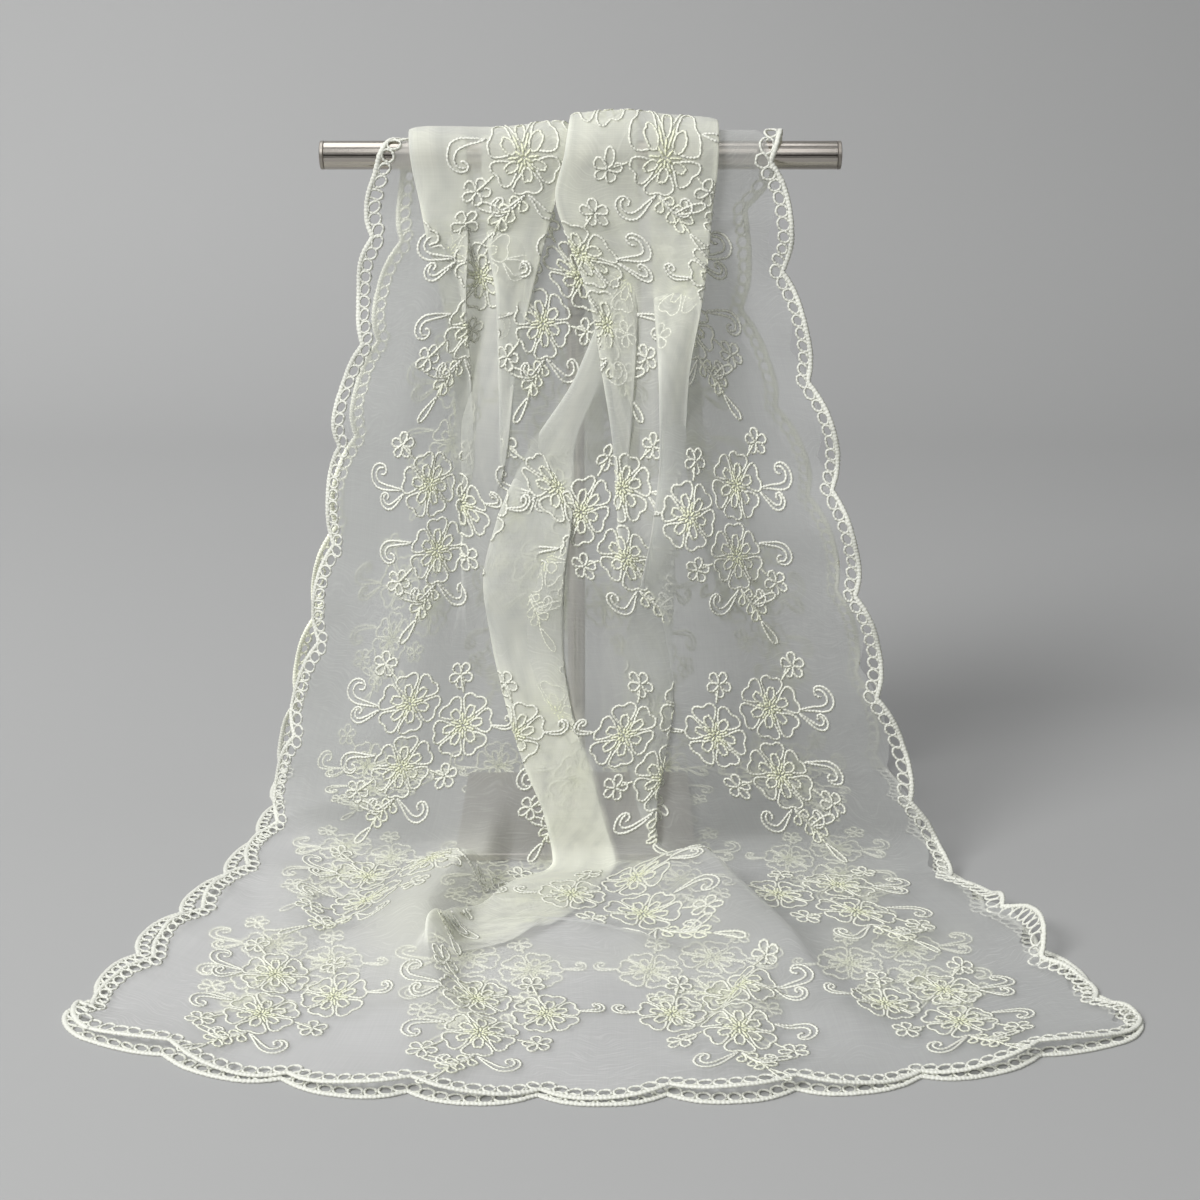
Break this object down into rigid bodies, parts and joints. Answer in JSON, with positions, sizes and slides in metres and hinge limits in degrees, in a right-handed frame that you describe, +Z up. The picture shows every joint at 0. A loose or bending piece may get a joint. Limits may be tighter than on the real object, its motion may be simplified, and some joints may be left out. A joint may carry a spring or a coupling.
{
  "type": "lace scarf on a T-bar display stand",
  "caption": "Sheer ivory lace scarf with corded flowers and a scalloped edge, pleated over the bar of a slim steel T stand and spread on the surface before it.",
  "frame": {"origin": "on the surface that the scarf and the stand rest on, straight below the middle of the post", "axes": "+X to the right as the spread hem is faced, along the bar; +Y away from the spread, towards the back fall; +Z up"},
  "size_m": [0.653, 0.5042, 0.5113],
  "materials": {
    "organza": "sheer, soft sheen",
    "cord_edging": "matte embroidery cord",
    "steel": "brushed along its length",
    "dark_steel": "dark satin"
  },
  "bodies": {
    "root": {"scarf_over_bar": "organza", "scarf_front_fall": "organza", "scarf_front_spread": "organza", "scarf_back_fall": "organza", "scarf_under_spread": "organza", "edging_front_left": "cord_edging", "edging_front_right": "cord_edging", "edging_front_end": "cord_edging", "edging_back_left": "cord_edging", "edging_back_right": "cord_edging", "edging_back_end": "cord_edging", "base_plate": "steel", "lower_post": "steel", "upper_post": "steel", "crossbar": "steel", "post_collar": "dark_steel", "bar_socket": "dark_steel", "bar_cap_left": "dark_steel", "bar_cap_right": "dark_steel"}
  },
  "joints": []
}
